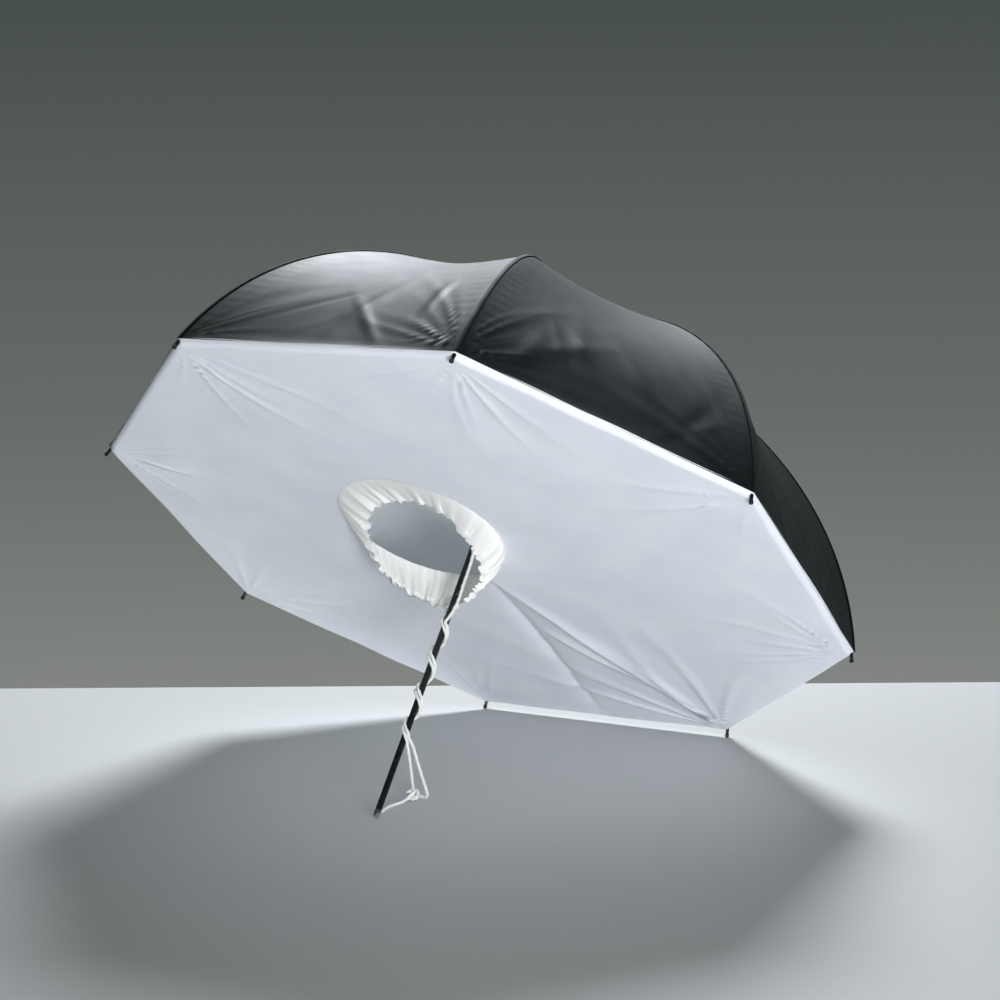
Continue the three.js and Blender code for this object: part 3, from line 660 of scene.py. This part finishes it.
def canopy_surface(number, angle):
    """The canopy beside rib `number`: place(across, along), across from -1 to 1 over its two half gores."""

    def place(across, along):
        out, high, slope = rib_arc(along, CANOPY_LIFT)
        share = np.abs(across)
        middle = out * math.cos(HALF)
        span = 2 * out * math.sin(HALF)
        fullness = np.sin(math.pi * np.clip(along / RIB_LENGTH, 0, 1)) ** GORE_FULLNESS
        rise = -GORE_SAG * span * fullness * share * (2 - share)
        left = gore_height((number - 2) % RIB_COUNT, 1 - share / 2, along, span)
        right = gore_height(number - 1, share / 2, along, span)
        rise = rise + np.where(across > 0, left, right)
        turn = across * HALF
        x = out + share * (middle * math.cos(HALF) - out) + rise * np.sin(slope) * np.cos(turn)
        y = across * middle * math.sin(HALF) + rise * np.sin(slope) * np.sin(turn)
        x, y = turned(x, y, angle)
        return np.stack([x, y, high - rise * np.cos(slope)], axis=1)

    return place


print("folds per gore", len(gore_folds[0]["corner"]) + len(gore_folds[0]["slack"]))

# %% [markdown]
# Each rib carries six rings of the canopy, each a closed sheet on a grid of cells about 6 mm wide.

# %% Canopy rings on every rib
RINGS = [CANOPY_START / RIB_LENGTH, 0.2, 0.36, 0.52, 0.68, 0.84, 1.0]
CELL = 6 * MM
CLOTH_THICKNESS = 0.45 * MM


canopy = []
for number in range(1, RIB_COUNT + 1):
    angle = rib_angle(number)
    surface = canopy_surface(number, angle)
    for ring, (low, high) in enumerate(zip(RINGS, RINGS[1:]), 1):
        start, end = low * RIB_LENGTH, high * RIB_LENGTH
        width = 2 * float(rib_arc(end, CANOPY_LIFT)[0]) * math.tan(HALF)
        columns = 2 * round(width / CELL / 2)
        rows = round((end - start) / CELL)

        def place(u, v, start=start, end=end, surface=surface):
            return surface(2 * u - 1, start + (end - start) * v)

        def chart(u, v, start=start, end=end):
            along = start + (end - start) * v
            return (2 * u - 1) * rib_arc(along, 0)[0] * math.sin(HALF), along

        name = f"canopy_{number}_ring_{ring}"
        gore = cloth_shell(
            name, (columns, rows), place, chart, CLOTH_THICKNESS, [black_satin, silver_lining], f"rib_{number}",
        )
        fold_flat(gore)
        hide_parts(f"canopy_gore_{number}")
        canopy.append(gore)
print("canopy pieces", len(canopy), "vertices", sum(len(p.data.vertices) for p in canopy))

# %% [markdown]
# ## Seam tape along the ribs
# Each gore seam is bound outside with a narrow black tape, which catches the light as a thin dark line from the
# crown to the tip. It is a swept strip with a domed section, 5.2 mm wide. Its flat width is given as 10 mm, the
# least that a sheet may have.

# %% Seam tapes
TAPE_HALF_WIDTH = 2.6 * MM
TAPE_HEIGHT = 0.9 * MM
for number in range(1, RIB_COUNT + 1):
    angle = rib_angle(number)

    def place(u, v, angle=angle):
        along = CANOPY_START + (RIB_LENGTH - CANOPY_START) * v
        side = 2 * u - 1
        lift = CANOPY_LIFT + 0.2 * MM + TAPE_HEIGHT * (1 - side**2) + 0.08 * MM * np.sin(along / (0.9 * MM))
        out, high, _ = rib_arc(along, lift)
        x, y = turned(out, side * TAPE_HALF_WIDTH, angle)
        return np.stack([x, y, high], axis=1)

    def chart(u, v):
        return u * 2 * TAPE_HALF_WIDTH, v * RIB_LENGTH

    tape = cloth_shell(
        f"seam_tape_{number}", (6, 260), place, chart, 0.5 * MM, [seam_tape], f"rib_{number}"
    )
print("seam tapes", RIB_COUNT)

# %% [markdown]
# ## The diffuser
# The white front is sewn to the canopy's rim and pulled outward where the drawstring draws on its collar, a
# little below the shaft. So it is a very flat tent: from that point the cloth runs straight to each side of the
# octagon, with a ridge to every corner, the sharpest to tip 5, and a soft valley straight down between the two
# tips that the umbrella stands on. Pleats fan out of each corner, because the sewn corner gathers the cloth.

# %% The tent and its pleats
PANEL_LIFT = 6 * MM
PANEL_EDGE = RIM_RADIUS - 6 * MM
COLLAR_OFFSET = 86 * MM
COLLAR_TURN = rib_angle(1)
COLLAR_BASE = 112 * MM
TENT_TOP = (-0.030, -0.016)
TENT_HEIGHT = 20 * MM
APOTHEM = PANEL_EDGE * math.cos(HALF)
PLEATS = 6
corner_pleats = [
    [
        {
            "turn": math.radians(-52 + 104 * (i + 0.5) / PLEATS) + rng.normal(0, 0.06),
            "width": rng.uniform(0.035, 0.07),
            "height": rng.uniform(1.0, 2.4) * MM * (1.7 if corner == 4 else 1),
            "reach": rng.uniform(0.1, 0.2) * (1.5 if corner == 4 else 1),
            "bend": rng.normal(0, 0.8),
        }
        for i in range(PLEATS)
    ]
    for corner in range(RIB_COUNT)
]


def line_distance(x, y, start, end):
    """Signed distance from the line from start to end, and the share of the way along it."""
    dx, dy = end[0] - start[0], end[1] - start[1]
    size = math.hypot(dx, dy)
    share = ((x - start[0]) * dx + (y - start[1]) * dy) / size**2
    return ((x - start[0]) * dy - (y - start[1]) * dx) / size, share


def corner_place(number):
    return PANEL_EDGE * math.cos(rib_angle(number)), PANEL_EDGE * math.sin(rib_angle(number))


def way_to_rim(x, y):
    """From 0 at the tent's top to 1 at the octagon's sides."""
    shares = []
    for side in range(RIB_COUNT):
        facing = side * STEP
        nx, ny = math.cos(facing), math.sin(facing)
        room = APOTHEM - TENT_TOP[0] * nx - TENT_TOP[1] * ny
        shares.append(((x - TENT_TOP[0]) * nx + (y - TENT_TOP[1]) * ny) / room)
    stack = np.array(shares)
    sharp = 40
    return np.log(np.exp(sharp * stack).sum(axis=0)) / sharp


def ridge_line(x, y, start, end, width, height):
    """A crease that is low at both ends."""
    distance, share = line_distance(x, y, start, end)
    inside = np.clip(share, 0, 1)
    body = np.sin(math.pi * inside) ** 0.6
    return height * np.exp(-np.abs(distance / width) ** 1.3) * body


def panel_height(x, y):
    """How far the diffuser stands out of the rim's plane."""
    to_rim = np.clip(way_to_rim(x, y), 0, 1)
    height = PANEL_LIFT + TENT_HEIGHT * (1 - to_rim)
    for corner, pleats in enumerate(corner_pleats, 1):
        cx, cy = corner_place(corner)
        back = math.atan2(-cy, -cx)
        reach = np.hypot(x - cx, y - cy)
        turn = np.arctan2(y - cy, x - cx) - back
        turn = np.mod(turn + math.pi, 2 * math.pi) - math.pi
        for pleat in pleats:
            ridge = np.exp(-(((turn + pleat["bend"] * reach - pleat["turn"]) / pleat["width"]) ** 2))
            fade = (reach / 0.04) ** 2 / (1 + (reach / 0.04) ** 2) * np.exp(-((reach / pleat["reach"]) ** 2))
            height = height + pleat["height"] * ridge * fade
    height += ridge_line(x, y, TENT_TOP, corner_place(5), 9 * MM, 5 * MM)
    height -= ridge_line(x, y, TENT_TOP, (-APOTHEM, 0), 12 * MM, 7 * MM)
    height += ridge_line(x, y, (-0.18, -0.03), (-0.33, -0.13), 8 * MM, 3.5 * MM)
    height += 0.9 * MM * np.sin(x / 0.035 + 1.1 * np.sin(y / 0.05)) * np.sin(y / 0.043 + 0.8 * np.sin(x / 0.06))
    return height


print("tent height", TENT_HEIGHT, "pleats per corner", PLEATS)


# %% [markdown]
# The diffuser's hem wraps over the canopy's rim, so the outermost rows turn down over it in a quarter round.
# The rays run from the collar's seam to the rim, as the frame's own solids do.

# %% Diffuser parts
HEM_ROWS = 0.05
HEM_OUT = 9 * MM
HEM_DOWN = 8.5 * MM


def collar_reach(angle, radius):
    """Distance from the shaft to a circle round the lamp opening; angles are from the opening's direction."""
    return COLLAR_OFFSET * np.cos(angle) + np.sqrt(radius**2 - (COLLAR_OFFSET * np.sin(angle)) ** 2)


def panel_surface(number):
    turn = -(number - 1) * STEP

    def place(u, v):
        across = 2 * u - 1
        inner = turn + across * HALF
        near = collar_reach(inner, COLLAR_BASE)
        rim = PANEL_EDGE * (1 - np.abs(across) * (1 - math.cos(HALF) ** 2))
        rim_x, rim_y = turned(rim, PANEL_EDGE * across * math.cos(HALF) * math.sin(HALF), turn)
        share = np.minimum(v / (1 - HEM_ROWS), 1)
        x = near * np.cos(inner) + share * (rim_x - near * np.cos(inner))
        y = near * np.sin(inner) + share * (rim_y - near * np.sin(inner))
        x, y = turned(x, y, COLLAR_TURN)
        wrap = np.clip((v - (1 - HEM_ROWS)) / HEM_ROWS, 0, 1.2) * math.pi / 2
        size = np.hypot(x, y)
        high = panel_height(x, y) - HEM_DOWN * (1 - np.cos(wrap))
        out = 1 + HEM_OUT * np.sin(wrap) / size
        return np.stack([x * out, y * out, high], axis=1)

    return place


def flat_chart(place):
    """A UV map from a surface's own places in the plane of the rim."""

    def chart(u, v):
        return place(u, v)[:, 0], place(u, v)[:, 1]

    return chart


diffuser = []
for number in range(1, RIB_COUNT + 1):
    surface = panel_surface(number)
    panel = cloth_shell(
        f"diffuser_{number}", (56, 84), surface, flat_chart(surface), CLOTH_THICKNESS, [diffuser_nylon],
        f"panel_{number}",
    )
    fold_flat(panel)
    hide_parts(f"front_panel_{number}")
    corners = surface(np.array([0, 0.5, 1, 1, 0.5, 0]), np.array([0, 0, 0, 1, 1, 1.0]))[:, :2]
    width = float(np.linalg.norm(corners[3] - corners[5]))
    length = float(np.linalg.norm(corners[4] - corners[1]))
    diffuser.append(panel)
print("diffuser vertices", sum(len(p.data.vertices) for p in diffuser))

# %% [markdown]
# ## The collar
# A strip of heavier white nylon stands up round the lamp opening, with a channel for the drawstring along its
# free edge. Drawn in, the strip gathers: the pleats are shallow at the seam and deep at the channel, where
# they end in scallops. The channel itself is a puckered roll.

# %% Collar parts
COLLAR_FREE = 78 * MM
COLLAR_SHIFT = -18 * MM
COLLAR_HEIGHT = 42 * MM
COLLAR_LEAN = 32 * MM
COLLAR_CURL = 1.3
GATHERS = 34
CHANNEL = 0.82
GATHER_CELL = 1.6 * MM


def collar_surface(number):
    turn = -(number - 1) * STEP

    def place(u, v):
        across = 2 * u - 1
        ray = turn + across * HALF
        near = collar_reach(ray, COLLAR_BASE)
        around = np.arctan2(near * np.sin(ray), near * np.cos(ray) - COLLAR_OFFSET)
        v = np.maximum(v, 0)
        radius = COLLAR_BASE + (COLLAR_FREE - COLLAR_BASE) * v**COLLAR_CURL
        high = (COLLAR_HEIGHT - COLLAR_LEAN * np.cos(around + HALF)) * v
        phase = GATHERS * around + 2.2 * np.sin(3 * around + 1) + 1.3 * np.sin(7 * around)
        gather = np.sin(phase + 1.2 * v) + 0.45 * np.sin(2.3 * phase + 1.7 - 2 * v)
        depth = (0.5 + 2.6 * np.minimum(v, CHANNEL) ** 1.2) * MM
        in_channel = np.clip((v - CHANNEL) / (1 - CHANNEL), 0, 1)
        roll = 2.4 * MM * np.sin(math.pi * in_channel) * (1 + 0.25 * np.sin(2 * phase))
        slump = 3.2 * MM * np.sin(2.6 * around + 0.8) * np.sin(math.pi * v) + 2.5 * MM * np.sin(5 * around) * v
        radius = radius + gather * depth + roll + slump
        high = high + (1.6 * np.sin(phase * 0.5 + 0.7) + 1.2 * np.sin(phase)) * MM * v**2
        x = COLLAR_OFFSET + COLLAR_SHIFT * v + radius * np.cos(around)
        y = radius * np.sin(around)
        x, y = turned(x, y, COLLAR_TURN)
        base_x, base_y = turned(near * np.cos(ray), near * np.sin(ray), COLLAR_TURN)
        base = panel_height(base_x, base_y) + 0.3 * MM
        lift = base * (1 - v) + (PANEL_LIFT + 1 * MM) * v
        return np.stack([x, y, lift + high], axis=1)

    return place


for number in range(1, RIB_COUNT + 1):
    surface = collar_surface(number)
    edge = surface(np.linspace(0, 1, 33), np.zeros(33))
    side = surface(np.full(17, 0.5), np.linspace(0, 1, 17))
    width = float(np.linalg.norm(np.diff(edge, axis=0), axis=1).sum())
    length = float(np.linalg.norm(np.diff(side, axis=0), axis=1).sum())
    columns = max(24, round(width / GATHER_CELL))

    def chart(u, v, width=width, length=length):
        return u * width, v * length

    collar = cloth_shell(
        f"collar_gathers_{number}", (columns, 44), surface, chart, 0.6 * MM, [collar_nylon], f"panel_{number}",
    )
    fold_flat(collar)
    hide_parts(f"collar_{number}")
print("collar gathers", GATHERS)

# %% [markdown]
# ## The crown's patch
# A round black patch closes the canopy under the ferrule. It is a shallow disc with a stitched edge that lies
# over the first ring of the canopy.

# %% Crown patch
PATCH_EDGE = 35 * MM
PATCH_HOLE = 16.3 * MM
PATCH_ROUND = 160 * MM
PATCH_DEEP = 19 * MM
PATCH_Z = float(rib_arc(CANOPY_START, CANOPY_LIFT)[1]) - 1.4 * MM


def patch_place(u, v):
    around = 2 * math.pi * u
    radius = PATCH_HOLE + (PATCH_EDGE - PATCH_HOLE) * v
    ripple = 0.35 * MM * np.sin(16 * around) * v**3 + 0.25 * MM * np.sin(90 * around) * (v > 0.9)
    high = PATCH_Z - 1.6 * MM * (1 - v) ** 2 + ripple
    return np.stack([radius * np.cos(around), -radius * np.sin(around), high], axis=1)


def patch_chart(u, v):
    return u * PATCH_ROUND, v * PATCH_DEEP


patch = cloth_shell(
    "crown_patch_cloth", (180, 12), patch_place, patch_chart, 0.6 * MM, [black_satin], "shaft"
)
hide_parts("crown_patch")
print("patch height", round(PATCH_Z, 4))

# %% [markdown]
# ## Floor and light
# A plain pale table that ends a little behind the umbrella, before a grey room that is lighter low down. A broad
# light stands above and behind: the satin canopy mirrors it and the umbrella throws its shadow forward. A low
# broad light in front fills the diffuser, which faces down and forward, without lighting the table much. A weak
# one inside stands for the light that the thin white cloth lets through to the silver lining.

# %% Table
TABLE_BACK = 0.55
TABLE_FRONT = 4.5
TABLE_HALF_WIDTH = 4.0
bm = flat_grid(1, 1)
ahead = Vector((-math.sin(AZIMUTH), math.cos(AZIMUTH), 0))
right = Vector((math.cos(AZIMUTH), math.sin(AZIMUTH), 0))
for vert in bm.verts:
    u, v = vert.co.x, vert.co.y
    deep = TABLE_BACK - (TABLE_BACK + TABLE_FRONT) * (1 - v)
    vert.co = right * TABLE_HALF_WIDTH * (2 * u - 1) + ahead * deep
table_mesh = bpy.data.meshes.new("table")
bm.to_mesh(table_mesh)
bm.free()
table = bpy.data.objects.new("table", table_mesh)
bpy.context.scene.collection.objects.link(table)
laminate, _, _ = new_material("pale matt laminate", "#DADCDA", 0.6)
table_mesh.materials.append(laminate)
print("table", TABLE_HALF_WIDTH * 2, "m wide")


# %% Lights
def area_light(name, place, target, size, power, colour):
    data = bpy.data.lights.new(name, "AREA")
    data.shape = "DISK"
    data.size = size
    data.energy = power
    data.color = linear(colour)[:3]
    light = bpy.data.objects.new(name, data)
    bpy.context.scene.collection.objects.link(light)
    light.location = place
    light.rotation_mode = "QUATERNION"
    light.rotation_quaternion = (Vector(target) - Vector(place)).to_track_quat("-Z", "Y")
    return light


area_light("key_above_behind", (-0.9, 2.0, 2.6), (0, 0, 0.3), 1.3, 115, "#F4F8FF")
area_light("fill_low_front", (2.2, -2.4, 0.22), (0, 0, 0.35), 0.9, 100, "#FAFBFF")
inside_place = from_umbrella((-60, 110, -70))
crown = from_umbrella((0, 0, -330))
inside_light = area_light("light_through_cloth", inside_place, crown, 0.3, 1.6, "#F8F8F4")
inside_light.visible_camera = False
world = bpy.data.worlds.new("grey room")
bpy.context.scene.world = world
world.use_nodes = True
sky = world.node_tree
way = add(sky, "ShaderNodeTexCoord").outputs["Generated"]
height = add(sky, "ShaderNodeSeparateXYZ", Vector=way).outputs["Z"]
share = add(sky, "ShaderNodeMapRange", Value=height, From_Min=-0.25, From_Max=0.05).outputs["Result"]
wall = ramp(sky, share, [(0.0, "#8C8E8A"), (0.45, "#666C69"), (1.0, "#414946")])
sky.links.new(wall, sky.nodes["Background"].inputs["Color"])
sky.nodes["Background"].inputs["Strength"].default_value = 1.0
bpy.context.scene.view_settings.view_transform = "Standard"
print("lights", len(bpy.data.lights))
